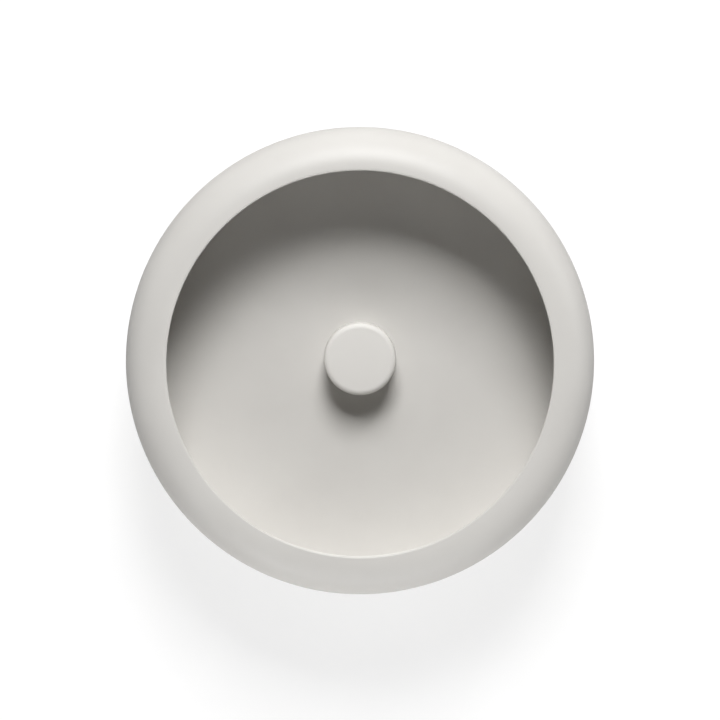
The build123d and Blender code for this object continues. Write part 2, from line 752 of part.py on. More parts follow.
with BuildPart() as board_parts:
    # four cell connectors, the lamp connector and the port connector
    with BuildSketch(Plane.XY.offset(MAIN_TOP_Z)):
        with GridLocations(2 * CONNECTOR_X, 2 * CONNECTOR_Y, 2, 2):
            Rectangle(CELL_CONNECTOR_W, CONNECTOR_DEPTH)
        with Locations((0, CONNECTOR_Y), (0, -CONNECTOR_Y)):
            Rectangle(LAMP_CONNECTOR_W, CONNECTOR_DEPTH)
    extrude(amount=CONNECTOR_T)
    # controller, charger chip and inductor
    with BuildSketch(Plane.XY.offset(MAIN_TOP_Z)):
        with Locations(CONTROLLER_AT):
            Rectangle(CONTROLLER_SIZE, CONTROLLER_SIZE)
        with Locations(CHARGER_AT):
            Rectangle(CHARGER_W, CHARGER_H)
    extrude(amount=CHIP_T)
    with BuildSketch(Plane.XY.offset(MAIN_TOP_Z)):
        with Locations(INDUCTOR_AT):
            Circle(INDUCTOR_R)
    extrude(amount=SWITCH_T)

board_parts.part.label = "board_parts"
export_step(board_parts.part, "parts/board_parts.step")


with BuildPart() as board_screws:
    with BuildSketch(Plane.XY.offset(MAIN_TOP_Z)):
        with GridLocations(2 * MAIN_POST_X, 2 * MAIN_POST_Y, 2, 2):
            Circle(SMALL_HEAD_R)
    extrude(amount=SMALL_HEAD_T)
    with BuildSketch(Plane.XY.offset(MAIN_TOP_Z)):
        with GridLocations(2 * MAIN_POST_X, 2 * MAIN_POST_Y, 2, 2):
            Circle(SMALL_SCREW_R)
    extrude(amount=-MAIN_SCREW_L)
    chamfer(board_screws.edges().group_by(Axis.Z)[-1], SMALL_HEAD_EDGE)

board_screws.part.label = "board_screws"
export_step(board_screws.part, "parts/board_screws.step")


# ---- Charging port ----

with BuildPart() as port_board:
    with BuildSketch(Plane.XY.offset(PORT_BOARD_TOP_Z)):
        with Locations((0, -PORT_BOARD_END_Y)):
            Rectangle(PORT_BOARD_X, PORT_BOARD_Y, align=(Align.CENTER, Align.MIN))
        with Locations(PORT_SCREWS):
            Circle(SMALL_SCREW_R + SMALL_SCREW_GAP, mode=Mode.SUBTRACT)
    extrude(amount=-BOARD_T)
    # charge light beside the socket
    with BuildSketch(Plane.XY.offset(PORT_BOARD_TOP_Z)):
        with Locations((PIPE_X, -PIPE_END_Y)):
            Rectangle(2 * PIPE_R, CHARGE_LED_L, align=(Align.CENTER, Align.MIN))
    extrude(amount=CHARGE_LED_T)

port_board.part.label = "port_board"
export_step(port_board.part, "parts/port_board.step")


with BuildPart() as port_screws:
    with BuildSketch(Plane.XY.offset(PORT_BOARD_TOP_Z)):
        with Locations(PORT_SCREWS):
            Circle(SMALL_HEAD_R)
    extrude(amount=SMALL_HEAD_T)
    with BuildSketch(Plane.XY.offset(PORT_BOARD_TOP_Z)):
        with Locations(PORT_SCREWS):
            Circle(SMALL_SCREW_R)
    extrude(amount=-PORT_SCREW_L)
    chamfer(port_screws.edges().group_by(Axis.Z)[-1], SMALL_HEAD_EDGE)

port_screws.part.label = "port_screws"
export_step(port_screws.part, "parts/port_screws.step")


socket_mouth_y = PORT_FACE_Y - SOCKET_INSET

with BuildPart() as usb_socket:
    with BuildSketch(Plane.XZ.offset(socket_mouth_y)):
        with Locations((0, PORT_Z)):
            SlotOverall(SOCKET_W, SOCKET_H)
    extrude(amount=-SOCKET_L)
    with BuildSketch(Plane.XZ.offset(socket_mouth_y)):
        with Locations((0, PORT_Z)):
            SlotOverall(SOCKET_W - 2 * SOCKET_T, SOCKET_H - 2 * SOCKET_T)
            Rectangle(SOCKET_TONGUE_W, SOCKET_TONGUE_T, mode=Mode.SUBTRACT)
    extrude(amount=-SOCKET_DEPTH, mode=Mode.SUBTRACT)

usb_socket.part.label = "usb_socket"
export_step(usb_socket.part, "parts/usb_socket.step")


with BuildPart() as flap_skin:
    with BuildSketch(Plane.XZ.offset(PORT_FACE_Y)):
        with Locations((0, PORT_Z)):
            SlotOverall(PORT_W - 2 * PORT_GAP, PORT_H - 2 * PORT_GAP)
    extrude(amount=THROUGH)
    add(bowl_solid(0), mode=Mode.INTERSECT)
    add(bowl_solid(FLAP_T), mode=Mode.SUBTRACT)

with BuildPart() as port_flap:
    with BuildSketch(Plane.XZ.offset(PORT_FACE_Y)):
        with Locations((0, PORT_Z)):
            SlotOverall(PORT_W - 2 * FLAP_T, PORT_H - 2 * FLAP_T)
    extrude(amount=THROUGH)
    add(bowl_solid(FLAP_T / 4), mode=Mode.INTERSECT)
    add(flap_skin.part)

port_flap.part.label = "port_flap"
export_step(port_flap.part, "parts/port_flap.step")


with BuildPart() as charge_pipe:
    with BuildSketch(Plane.XZ.offset(PIPE_END_Y)):
        with Locations((PIPE_X, PORT_Z)):
            Circle(PIPE_R)
    extrude(amount=THROUGH)
    add(bowl_solid(0), mode=Mode.INTERSECT)

charge_pipe.part.label = "charge_pipe"
export_step(charge_pipe.part, "parts/charge_pipe.step")


# ---- Batteries ----

with BuildPart() as battery_cells:
    with BuildSketch(Plane.XZ.offset(-CELL_L / 2)):
        with Locations((-CELL_X, CELL_Z), (CELL_X, CELL_Z)):
            Circle(CELL_R)
    extrude(amount=CELL_L)
    fillet(battery_cells.edges().filter_by(GeomType.CIRCLE), CELL_EDGE)

battery_cells.part.label = "battery_cells"
export_step(battery_cells.part, "parts/battery_cells.step")


cradle_y = CELL_L + 2 * TAB_T + 2 * CRADLE_END
cradle_screw_z = BASE_TOP_Z + CRADLE_POST_H + CRADLE_TONGUE_T

with BuildPart() as battery_cradles:
    with BuildSketch(Plane.XY.offset(BASE_TOP_Z)):
        with GridLocations(2 * CELL_X, 0, 2, 1):
            Rectangle(CRADLE_X, cradle_y)
    extrude(amount=CELL_Z - BASE_TOP_Z)
    # tongues that the screws hold down
    with BuildSketch(Plane.XY.offset(BASE_TOP_Z + CRADLE_POST_H)):
        with GridLocations(2 * CELL_X, 0, 2, 1):
            Rectangle(CRADLE_TONGUE_W, 2 * (CRADLE_POST_Y + CRADLE_TONGUE_END))
    extrude(amount=CRADLE_TONGUE_T)
    with BuildSketch(Plane.XZ.offset(-CELL_L / 2 - TAB_T)):
        with Locations((-CELL_X, CELL_Z), (CELL_X, CELL_Z)):
            Circle(CELL_R)
    extrude(amount=CELL_L + 2 * TAB_T, mode=Mode.SUBTRACT)
    # room for the posts and the screws
    with BuildSketch(Plane.XY.offset(BASE_TOP_Z)):
        with GridLocations(2 * CELL_X, 2 * CRADLE_POST_Y, 2, 2):
            Circle(CRADLE_POST_R + CRADLE_POST_GAP)
    extrude(amount=CRADLE_POST_H, mode=Mode.SUBTRACT)
    with BuildSketch(Plane.XY.offset(BASE_TOP_Z + CRADLE_POST_H)):
        with GridLocations(2 * CELL_X, 2 * CRADLE_POST_Y, 2, 2):
            Circle(SMALL_SCREW_R + SMALL_SCREW_GAP)
    extrude(amount=CRADLE_TONGUE_T, mode=Mode.SUBTRACT)
    with BuildSketch(Plane.XY.offset(cradle_screw_z)):
        with GridLocations(2 * CELL_X, 2 * CRADLE_POST_Y, 2, 2):
            Circle(SMALL_HEAD_R + CRADLE_HEAD_GAP)
    extrude(amount=CRADLE_HEAD_ROOM, mode=Mode.SUBTRACT)

battery_cradles.part.label = "battery_cradles"
export_step(battery_cradles.part, "parts/battery_cradles.step")


with BuildPart() as cradle_screws:
    with BuildSketch(Plane.XY.offset(cradle_screw_z)):
        with GridLocations(2 * CELL_X, 2 * CRADLE_POST_Y, 2, 2):
            Circle(SMALL_HEAD_R)
    extrude(amount=SMALL_HEAD_T)
    with BuildSketch(Plane.XY.offset(cradle_screw_z)):
        with GridLocations(2 * CELL_X, 2 * CRADLE_POST_Y, 2, 2):
            Circle(SMALL_SCREW_R)
    extrude(amount=-CRADLE_SCREW_L)
    chamfer(cradle_screws.edges().group_by(Axis.Z)[-1], SMALL_HEAD_EDGE)

cradle_screws.part.label = "cradle_screws"
export_step(cradle_screws.part, "parts/cradle_screws.step")


with BuildPart() as cell_tabs:
    for end in (-CELL_L / 2 - TAB_T, CELL_L / 2):
        with BuildSketch(Plane.XZ.offset(end)):
            with Locations((-CELL_X, CELL_Z), (CELL_X, CELL_Z)):
                Rectangle(TAB_W, TAB_H)
        extrude(amount=TAB_T)

cell_tabs.part.label = "cell_tabs"
export_step(cell_tabs.part, "parts/cell_tabs.step")


# ---- Wiring: each lead follows a few points between its two ends ----

lead_y = CELL_L / 2 + TAB_T + LEAD_R
connector_face_y = CONNECTOR_Y + CONNECTOR_DEPTH / 2

with BuildPart() as battery_leads:
    with BuildLine():
        lead_path = Spline(
            (50, -lead_y, 18), (42, -lead_y, 18), (30, -28.5, 16.6), (22, -connector_face_y, 14.6),
            tangents=[(-1, 0, 0), (0, 1, 0)],
        )
    with BuildSketch(Plane(origin=lead_path @ 0, z_dir=lead_path % 0)):
        Circle(LEAD_R)
    sweep()
    mirror(about=Plane.YZ)
    mirror(about=Plane.XZ)

battery_leads.part.label = "battery_leads"
export_step(battery_leads.part, "parts/battery_leads.step")


with BuildPart() as led_leads:
    for x in (-1.5, 1.5):
        with BuildLine():
            led_path = Spline(
                (x, connector_face_y, 14.4), (x, 24, 14.9), (x, 28.6, LED_BOARD_Z),
                tangents=[(0, 1, 0), (0, 0, 1)],
            )
        with BuildSketch(Plane(origin=led_path @ 0, z_dir=led_path % 0)):
            Circle(FINE_LEAD_R)
        sweep(path=led_path)

led_leads.part.label = "led_leads"
export_step(led_leads.part, "parts/led_leads.step")


port_lead_z = PORT_BOARD_TOP_Z + FINE_LEAD_R

with BuildPart() as port_leads:
    for x in (-3.6, -1.2, 1.2, 3.6):
        with BuildLine():
            port_path = Spline(
                (x, -88, port_lead_z), (x, -84, port_lead_z), (x, -56, 10), (x, -connector_face_y, 14.4),
                tangents=[(0, 1, 0), (0, 1, 0)],
            )
        with BuildSketch(Plane(origin=port_path @ 0, z_dir=port_path % 0)):
            Circle(FINE_LEAD_R)
        sweep(path=port_path)

port_leads.part.label = "port_leads"
export_step(port_leads.part, "parts/port_leads.step")


# ---- Wall fixing ----

with BuildPart() as keeper_plate:
    with BuildSketch(Plane.XY.offset(RECESS_Z)):
        Circle(KEEPER_R)
    extrude(amount=-KEEPER_T)
    chamfer(keeper_plate.edges().group_by(Axis.Z)[0], KEEPER_EDGE)

keeper_plate.part.label = "keeper_plate"
export_step(keeper_plate.part, "parts/keeper_plate.step")


with BuildPart() as wall_disc:
    with BuildSketch():
        Circle(DISC_R)
        with Locations((-WALL_SCREW_X, 0), (WALL_SCREW_X, 0)):
            Circle(WALL_SCREW_R, mode=Mode.SUBTRACT)
    extrude(amount=DISC_T)
    with BuildSketch(Plane.XY.offset(DISC_T)):
        with Locations((-WALL_SCREW_X, 0), (WALL_SCREW_X, 0)):
            Circle(WALL_HEAD_R)
    extrude(amount=-WALL_HEAD_T, mode=Mode.SUBTRACT)
    with BuildSketch(Plane.XY.offset(DISC_T)):
        with PolarLocations(MAGNET_RING_R, MAGNETS, start_angle=30):
            Circle(MAGNET_R)
    extrude(amount=-MAGNET_T, mode=Mode.SUBTRACT)
    rim_edges = wall_disc.edges().filter_by(GeomType.CIRCLE)
    chamfer([edge for edge in rim_edges if abs(edge.radius - DISC_R) < SAME], DISC_EDGE)
    # hollow back, leaving the rim, the hub, six ribs and the screw bosses against the wall
    with BuildSketch():
        Circle(DISC_HOLLOW_OUT_R)
        Circle(DISC_HOLLOW_IN_R, mode=Mode.SUBTRACT)
        for angle in (30, 90, 150):
            Rectangle(2 * DISC_HOLLOW_OUT_R, DISC_RIB_T, rotation=angle, mode=Mode.SUBTRACT)
        with Locations((-WALL_SCREW_X, 0), (WALL_SCREW_X, 0)):
            Circle(DISC_SCREW_BOSS_R, mode=Mode.SUBTRACT)
    extrude(amount=DISC_HOLLOW_T, mode=Mode.SUBTRACT)

wall_disc.part.label = "wall_disc"
export_step(wall_disc.part, "parts/wall_disc.step")


with BuildPart() as disc_magnets:
    with BuildSketch(Plane.XY.offset(DISC_T)):
        with PolarLocations(MAGNET_RING_R, MAGNETS, start_angle=30):
            Circle(MAGNET_R)
    extrude(amount=-MAGNET_T)

disc_magnets.part.label = "disc_magnets"
export_step(disc_magnets.part, "parts/disc_magnets.step")


with BuildPart() as disc_pad:
    with BuildSketch(Plane.XY.offset(DISC_T)):
        Circle(PAD_OUT_R)
        Circle(PAD_IN_R, mode=Mode.SUBTRACT)
        with Locations((-WALL_SCREW_X, 0), (WALL_SCREW_X, 0)):
            Circle(WALL_HEAD_R + PAD_HOLE_GAP, mode=Mode.SUBTRACT)
    extrude(amount=PAD_T)

disc_pad.part.label = "disc_pad"
export_step(disc_pad.part, "parts/disc_pad.step")
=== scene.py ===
import json
import math

import bmesh
import bpy
from mathutils import Matrix, Vector


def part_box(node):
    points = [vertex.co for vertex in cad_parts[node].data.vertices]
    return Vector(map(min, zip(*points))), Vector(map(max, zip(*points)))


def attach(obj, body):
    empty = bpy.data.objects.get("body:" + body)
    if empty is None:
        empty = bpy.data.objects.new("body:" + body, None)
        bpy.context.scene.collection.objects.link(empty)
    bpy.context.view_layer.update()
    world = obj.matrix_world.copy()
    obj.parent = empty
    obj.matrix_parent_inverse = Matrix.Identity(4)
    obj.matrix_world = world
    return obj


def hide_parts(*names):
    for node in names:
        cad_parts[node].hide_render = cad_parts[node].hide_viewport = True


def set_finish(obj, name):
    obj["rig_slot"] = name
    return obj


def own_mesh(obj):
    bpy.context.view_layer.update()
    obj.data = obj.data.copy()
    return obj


# Looks of the cordless bowl lamp. Metres, in the CAD frame: +Z out of the dish, charging port on the -Y side.

MM = 0.001

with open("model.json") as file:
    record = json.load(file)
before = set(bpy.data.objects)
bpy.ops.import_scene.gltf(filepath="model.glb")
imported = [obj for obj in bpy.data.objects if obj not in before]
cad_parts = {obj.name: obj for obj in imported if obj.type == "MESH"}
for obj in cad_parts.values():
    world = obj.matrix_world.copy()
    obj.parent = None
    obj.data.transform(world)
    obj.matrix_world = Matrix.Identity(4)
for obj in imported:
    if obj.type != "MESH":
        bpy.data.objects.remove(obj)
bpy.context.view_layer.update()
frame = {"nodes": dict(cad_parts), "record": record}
nodes = frame["nodes"]


# ---- Sizes: the first ones are measured on the CAD nodes, the rest repeat the CAD's driving dimensions ----

LOW = 0
HIGH = 1
rim_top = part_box("rim_ring")[HIGH]
cap_low, cap_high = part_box("knob_cap")
plate_low, plate_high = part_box("rating_plate")

OUTER_R = rim_top.x
TOP_Z = rim_top.z
BASE_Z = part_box("rear_shell")[LOW].z
KNOB_R = cap_high.x
KNOB_TOP_Z = cap_high.z
KNOB_SKIRT_Z = cap_low.z
FOOT_OUT_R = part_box("foot_ring")[HIGH].x

WALL = 2.4 * MM
DISH_R = 103 * MM
DISH_FOOT_R = 107.8 * MM
JOINT_Z = 72 * MM
JOINT_STEP = 2 * MM
LIP_R = 1 * MM
CREST_R = DISH_R + LIP_R
WIDEST_Z = 57.5 * MM
FLOOR_Z = 27 * MM
PART_Z = 54 * MM
SEAM = 0.3 * MM
STEP_R = 123.5 * MM
STEP_Z = 57.3 * MM
TONGUE_R = 123.4 * MM
TONGUE_IN_R = 121.4 * MM
TONGUE_TOP_Z = 56.5 * MM
BASE_R = 90 * MM
BOWL_W = OUTER_R - BASE_R  # half axes of the lower bowl's curve
BOWL_H = WIDEST_Z - BASE_Z
PART_ANGLE = math.degrees(math.asin((WIDEST_Z - PART_Z) / BOWL_H))  # of the parting line, on that curve
SEAM_ANGLE = 0.3  # degrees of that curve that the seam's bevel takes, above and below the line
RECESS_R = 37 * MM
RECESS_Z = 8 * MM
RECESS_EDGE = 0.6 * MM
FOOT_IN_R = 60 * MM
FOOT_GROOVE = 0.8 * MM
FOOT_EDGE = 1.2 * MM
FOOT_MARGIN = 3 * MM  # first ring of vertices outside the foot's groove
SCREW_RING_R = 78 * MM
SCREWS = 6
SCREW_SEAT_R = 3.2 * MM
SCREW_SEAT_DEPTH = 2.3 * MM
SCREW_SEAT_LIP = 0.5 * MM  # how much wider the seat's mouth is
SCREW_SEAT_EDGE = 0.4 * MM
KNOB_FACE_R = 16.3 * MM
KNOB_CROWN = 0.4 * MM
KNOB_SHOULDER_Z = 43.4 * MM
KNOB_BORE_R = 17.9 * MM
KNOB_TOP_T = 3 * MM
KNOB_SLOPE = 2 * MM
KNOB_EDGE = 0.4 * MM
KNOB_EDGE_MID = 0.12 * MM  # inset of the point that rounds that edge
KNOB_TUBE_Z = 34.5 * MM
KNOB_TUBE_R = 6 * MM
KNOB_SOCKET_R = 3 * MM
KNOB_SOCKET_DEPTH = 0.5 * MM
PLATE_CORNER = 1.5 * MM
PLATE_RECESS = 0.35 * MM
PLATE_GAP = 0.3 * MM
PORT_Z = 22 * MM
PORT_W = 14 * MM
PORT_H = 8 * MM
PORT_FACE_Y = 111.5 * MM
PORT_BLOCK_X = 35 * MM
PORT_BLOCK_Y = 106 * MM
PORT_BLOCK_DEPTH = 12 * MM
PORT_BLOCK_Z = 21.5 * MM
PORT_BLOCK_H = 15 * MM
PORT_RELIEF_R = 110.8 * MM
PORT_RELIEF_Z = 24.3 * MM
PORT_GAP = 0.1 * MM
SOCKET_MOUTH_W = 9 * MM
SOCKET_MOUTH_H = 3.3 * MM
SOCKET_MOUTH_END_Y = 113 * MM
CUT_START_Y = 105 * MM  # cuts for the port run from inside the block
CUT_END_Y = 130 * MM  # to outside the bowl
FLAP_T = 2 * MM
FLAP_EDGE = 0.35 * MM
FLAP_EDGE_STEPS = 6
FLAP_FACE_SHARES = (0.6, 0.3)  # of its half height, where the face has its inner rings
FLAP_PLUG_INSET = 1.9 * MM
SCOOP_R = 6 * MM
SCOOP_Y = 123.6 * MM
SCOOP_Z = 24.1 * MM
PIPE_X = 13.5 * MM
PIPE_R = 1.2 * MM
TURNS = 288
KNOB_TURNS = 192
CROWN_STEPS = 17
SHARP = 35  # degrees
SHARP_TURNED = 40  # for turned outlines
SHARP_FLAP = 50
MERGE = 1e-7


# ---- Mesh helpers ----

def arc(cx, cz, a, b, start, end, steps):
    """Points along an ellipse's arc, from start to end degrees."""
    points = []
    for i in range(steps + 1):
        t = math.radians(start + (end - start) * i / steps)
        points.append((cx + a * math.cos(t), cz + b * math.sin(t)))
    return points


def straight(start, end, steps):
    """Points along a line, without its end."""
    return [
        (start[0] + (end[0] - start[0]) * i / steps, start[1] + (end[1] - start[1]) * i / steps)
        for i in range(steps)
    ]


def smooth(mesh, sharp):
    """Smooth shading, with edges beyond this many degrees left sharp."""
    for polygon in mesh.polygons:
        polygon.use_smooth = True
    mesh.set_sharp_from_angle(angle=math.radians(sharp))


def new_piece(name, bm, body, sharp=SHARP):
    """Turns a bmesh into a smooth-shaded piece that rides on a body."""
    bmesh.ops.remove_doubles(bm, verts=bm.verts, dist=MERGE)
    bmesh.ops.recalc_face_normals(bm, faces=bm.faces)
    mesh = bpy.data.meshes.new(name)
    bm.to_mesh(mesh)
    bm.free()
    smooth(mesh, sharp)
    piece = bpy.data.objects.new(name, mesh)
    bpy.context.scene.collection.objects.link(piece)
    if body:
        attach(piece, body)
    return piece


def spin(outline, turns=TURNS, centre=(0, 0)):
    """A bmesh of a closed outline of (radius, height) points turned about an upright axis."""
    bm = bmesh.new()
    rings = []
    for radius, height in outline:
        if radius < MERGE:
            rings.append([bm.verts.new((centre[0], centre[1], height))])
            continue
        ring = []
        for k in range(turns):
            angle = 2 * math.pi * k / turns
            x = centre[0] + radius * math.cos(angle)
            y = centre[1] + radius * math.sin(angle)
            ring.append(bm.verts.new((x, y, height)))
        rings.append(ring)
    for i, low in enumerate(rings):
        high = rings[(i + 1) % len(rings)]
        if len(low) == 1 and len(high) == 1:
            continue
        for k in range(turns):
            n = (k + 1) % turns
            if len(low) == 1:
                bm.faces.new((low[0], high[k], high[n]))
            elif len(high) == 1:
                bm.faces.new((low[k], high[0], low[n]))
            else:
                bm.faces.new((low[k], high[k], high[n], low[n]))
    return bm


def bowl_r(z):
    """Radius of the lower bowl at a height."""
    s = min(1.0, (WIDEST_Z - z) / BOWL_H)
    return BASE_R + BOWL_W * math.sqrt(1 - s * s)


def carve(piece, cutter, operation="DIFFERENCE"):
    """Cuts one mesh with another, and throws the cutter away."""
    cut = piece.modifiers.new("cut", "BOOLEAN")
    cut.operation = operation
    cut.solver = "EXACT"
    cut.object = cutter
    bpy.context.view_layer.update()
    shaped = bpy.data.meshes.new_from_object(piece.evaluated_get(bpy.context.evaluated_depsgraph_get()))
    piece.modifiers.remove(cut)
    piece.data = shaped
    bpy.data.objects.remove(cutter)


def slot_outline(width, height, steps=16):
    """Outline of an upright-sided slot, as (across, up) points round its middle."""
    r = height / 2
    half = width / 2 - r
    right = arc(half, 0, r, r, -90, 90, steps)
    left = arc(-half, 0, r, r, 90, 270, steps)
    return right + left


def rounded_box(half_x, half_y, corner, steps=8):
    """Outline of a rectangle with round corners, as (x, y) points round its middle."""
    outline = []
    for quarter, (sx, sy) in enumerate(((1, 1), (-1, 1), (-1, -1), (1, -1))):
        cx = sx * (half_x - corner)
        cy = sy * (half_y - corner)
        outline += arc(cx, cy, corner, corner, 90 * quarter, 90 * quarter + 90, steps)
    return outline


def join_rings(bm, rings):
    """Side faces between closed rings of the same number of vertices."""
    for low, high in zip(rings, rings[1:]):
        for i in range(len(low)):
            n = (i + 1) % len(low)
            bm.faces.new((low[i], low[n], high[n], high[i]))


def prism(name, outline, near, far):
    """A prism along -Y with the given outline round the port's height."""
    bm = bmesh.new()
    front = [bm.verts.new((x, -far, PORT_Z + z)) for x, z in outline]
    back = [bm.verts.new((x, -near, PORT_Z + z)) for x, z in outline]
    bm.faces.new(front)
    bm.faces.new(list(reversed(back)))
    join_rings(bm, [front, back])
    return new_piece(name, bm, None)


def wall_r(z):
    """Inside radius of the dish wall at a height."""
    return DISH_R + (DISH_FOOT_R - DISH_R) * (TOP_Z - LIP_R - z) / (TOP_Z - LIP_R - FLOOR_Z)


# ---- Rim: lip, rolled top, skirt down to the parting line, and the roof inside ----

def rim_ring():
    inner_r = OUTER_R - WALL
    joint_top_z = JOINT_Z + JOINT_STEP
    joint_mid_r = wall_r(JOINT_Z) + WALL / 2
    outline = straight((wall_r(JOINT_Z), JOINT_Z), (DISH_R, TOP_Z - LIP_R), 4)
    outline += arc(CREST_R, TOP_Z - LIP_R, LIP_R, LIP_R, 180, 90, 12)[:-1]
    outline += arc(CREST_R, WIDEST_Z, OUTER_R - CREST_R, TOP_Z - WIDEST_Z, 90, 0, 44)[:-1]
    outline += arc(BASE_R, WIDEST_Z, BOWL_W, BOWL_H, 0, -PART_ANGLE + SEAM_ANGLE, 5)
    outline += [(bowl_r(PART_Z) - SEAM, PART_Z), (STEP_R, PART_Z), (STEP_R, STEP_Z), (inner_r, STEP_Z)]
    outline += arc(DISH_R + WALL, WIDEST_Z, inner_r - DISH_R - WALL, TOP_Z - WIDEST_Z - WALL, 0, 90, 20)
    outline += [(wall_r(joint_top_z) + WALL, joint_top_z), (joint_mid_r, joint_top_z), (joint_mid_r, JOINT_Z)]
    piece = new_piece("rim", spin(outline), "lamp", SHARP_TURNED)
    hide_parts("rim_ring")
    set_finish(piece, "shell")
    return piece


# ---- Rear shell ----

def rear_shell():
    tongue_angle = math.degrees(math.acos((TONGUE_IN_R - BASE_R) / (BOWL_W - WALL)))
    outline = [(0, RECESS_Z), (RECESS_R, RECESS_Z)]
    outline += [(RECESS_R, BASE_Z + RECESS_EDGE), (RECESS_R + RECESS_EDGE, BASE_Z)]
    outline += [(FOOT_IN_R, BASE_Z), (FOOT_IN_R, BASE_Z + FOOT_GROOVE)]
    outline += [(FOOT_OUT_R, BASE_Z + FOOT_GROOVE), (FOOT_OUT_R, BASE_Z)]
    outline += straight((FOOT_OUT_R + FOOT_MARGIN, BASE_Z), (BASE_R, BASE_Z), 6)
    outline += arc(BASE_R, WIDEST_Z, BOWL_W, BOWL_H, -90, -PART_ANGLE - SEAM_ANGLE, 70)
    edge_r = bowl_r(PART_Z)
    outline += [(edge_r - SEAM, PART_Z), (TONGUE_R, PART_Z)]
    outline += [(TONGUE_R, TONGUE_TOP_Z), (TONGUE_IN_R, TONGUE_TOP_Z)]
    outline += arc(BASE_R, WIDEST_Z, BOWL_W - WALL, BOWL_H - WALL, -tongue_angle, -90, 24)
    ceiling_z = RECESS_Z + WALL
    outline += [(RECESS_R + WALL, BASE_Z + WALL), (RECESS_R + WALL, ceiling_z), (0, ceiling_z)]
    piece = new_piece("shell_rear", spin(outline), "lamp", SHARP_TURNED)

    # block behind the port, kept inside the wall and clear of the dish, joined on before the pocket is cut
    block = bmesh.new()
    bmesh.ops.create_cube(block, size=1.0)
    bmesh.ops.scale(block, vec=(PORT_BLOCK_X, PORT_BLOCK_DEPTH, PORT_BLOCK_H), verts=block.verts)
    block_y = -(PORT_BLOCK_Y + PORT_BLOCK_DEPTH / 2)
    bmesh.ops.translate(block, vec=(0, block_y, PORT_BLOCK_Z), verts=block.verts)
    block = new_piece("block", block, None)
    inside = arc(BASE_R, WIDEST_Z, BOWL_W - WALL / 2, BOWL_H - WALL / 2, -90, 0, 60)
    inside += [(0, WIDEST_Z), (0, BASE_Z + WALL / 2)]
    carve(block, new_piece("bowl", spin(inside), None), "INTERSECT")
    relief = [(0, PORT_RELIEF_Z), (PORT_RELIEF_R, PORT_RELIEF_Z), (PORT_RELIEF_R, WIDEST_Z), (0, WIDEST_Z)]
    carve(block, new_piece("relief", spin(relief), None))
    carve(piece, block, "UNION")

    # pocket, mouth of the socket, bore of the light pipe, nail scoop
    carve(piece, prism("pocket", slot_outline(PORT_W, PORT_H), PORT_FACE_Y, CUT_END_Y))
    mouth = slot_outline(SOCKET_MOUTH_W, SOCKET_MOUTH_H, 10)
    carve(piece, prism("mouth", mouth, CUT_START_Y, SOCKET_MOUTH_END_Y))
    carve(piece, prism("bore", arc(PIPE_X, 0, PIPE_R, PIPE_R, 0, 352, 44), CUT_START_Y, CUT_END_Y))
    scoop = bmesh.new()
    bmesh.ops.create_uvsphere(scoop, u_segments=96, v_segments=64, radius=SCOOP_R)
    bmesh.ops.translate(scoop, vec=(0, -SCOOP_Y, SCOOP_Z), verts=scoop.verts)
    carve(piece, new_piece("scoop", scoop, None))

    # seats of the shell screws
    mouth_r = SCREW_SEAT_R + SCREW_SEAT_LIP
    seat_top_z = BASE_Z + SCREW_SEAT_DEPTH
    outline = [(0, 0), (mouth_r, 0), (mouth_r, BASE_Z), (SCREW_SEAT_R, BASE_Z + SCREW_SEAT_EDGE)]
    outline += [(SCREW_SEAT_R, seat_top_z), (0, seat_top_z)]
    for k in range(SCREWS):
        angle = 2 * math.pi * k / SCREWS
        centre = (SCREW_RING_R * math.cos(angle), SCREW_RING_R * math.sin(angle))
        carve(piece, new_piece("seat", spin(outline, 48, centre), None))

    # recess of the rating plate
    plate_y = (plate_low.y + plate_high.y) / 2
    half_y = (plate_high.y - plate_low.y) / 2
    sides = rounded_box(plate_high.x + PLATE_GAP, half_y + PLATE_GAP, PLATE_CORNER + PLATE_GAP)
    recess = bmesh.new()
    levels = [[recess.verts.new((x, plate_y + y, z)) for x, y in sides] for z in (0, BASE_Z + PLATE_RECESS)]
    join_rings(recess, levels)
    recess.faces.new(levels[0])
    recess.faces.new(levels[1])
    carve(piece, new_piece("plate_recess", recess, None))
    smooth(piece.data, SHARP_TURNED)
    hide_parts("rear_shell")
    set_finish(piece, "shell")
    return piece


# ---- Button cap ----

def knob_cap():
    shoulder_top_z = KNOB_TOP_Z - KNOB_CROWN
    ceiling_z = KNOB_TOP_Z - KNOB_TOP_T
    socket_z = ceiling_z + KNOB_SOCKET_DEPTH
    outline = []
    for step in range(CROWN_STEPS):
        r = KNOB_FACE_R * step / CROWN_STEPS
        outline.append((r, KNOB_TOP_Z - KNOB_CROWN * (r / KNOB_FACE_R) ** 2))
    shoulder_h = shoulder_top_z - KNOB_SHOULDER_Z
    outline += arc(KNOB_FACE_R, KNOB_SHOULDER_Z, KNOB_R - KNOB_FACE_R, shoulder_h, 90, 0, 24)
    outline += [(KNOB_R, KNOB_SKIRT_Z + KNOB_EDGE), (KNOB_R - KNOB_EDGE_MID, KNOB_SKIRT_Z + KNOB_EDGE_MID)]
    outline += [(KNOB_R - KNOB_EDGE, KNOB_SKIRT_Z), (KNOB_BORE_R, KNOB_SKIRT_Z)]
    outline += [(KNOB_BORE_R, ceiling_z - KNOB_SLOPE), (KNOB_BORE_R - KNOB_SLOPE, ceiling_z)]
    outline += [(KNOB_TUBE_R, ceiling_z), (KNOB_TUBE_R, KNOB_TUBE_Z)]
    outline += [(KNOB_SOCKET_R, KNOB_TUBE_Z), (KNOB_SOCKET_R, socket_z), (0, socket_z)]
    piece = new_piece("button_cap", spin(outline, KNOB_TURNS), "button", SHARP_TURNED)
    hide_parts("knob_cap")
    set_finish(piece, "shell_knob")
    return piece


# ---- Foot ring ----

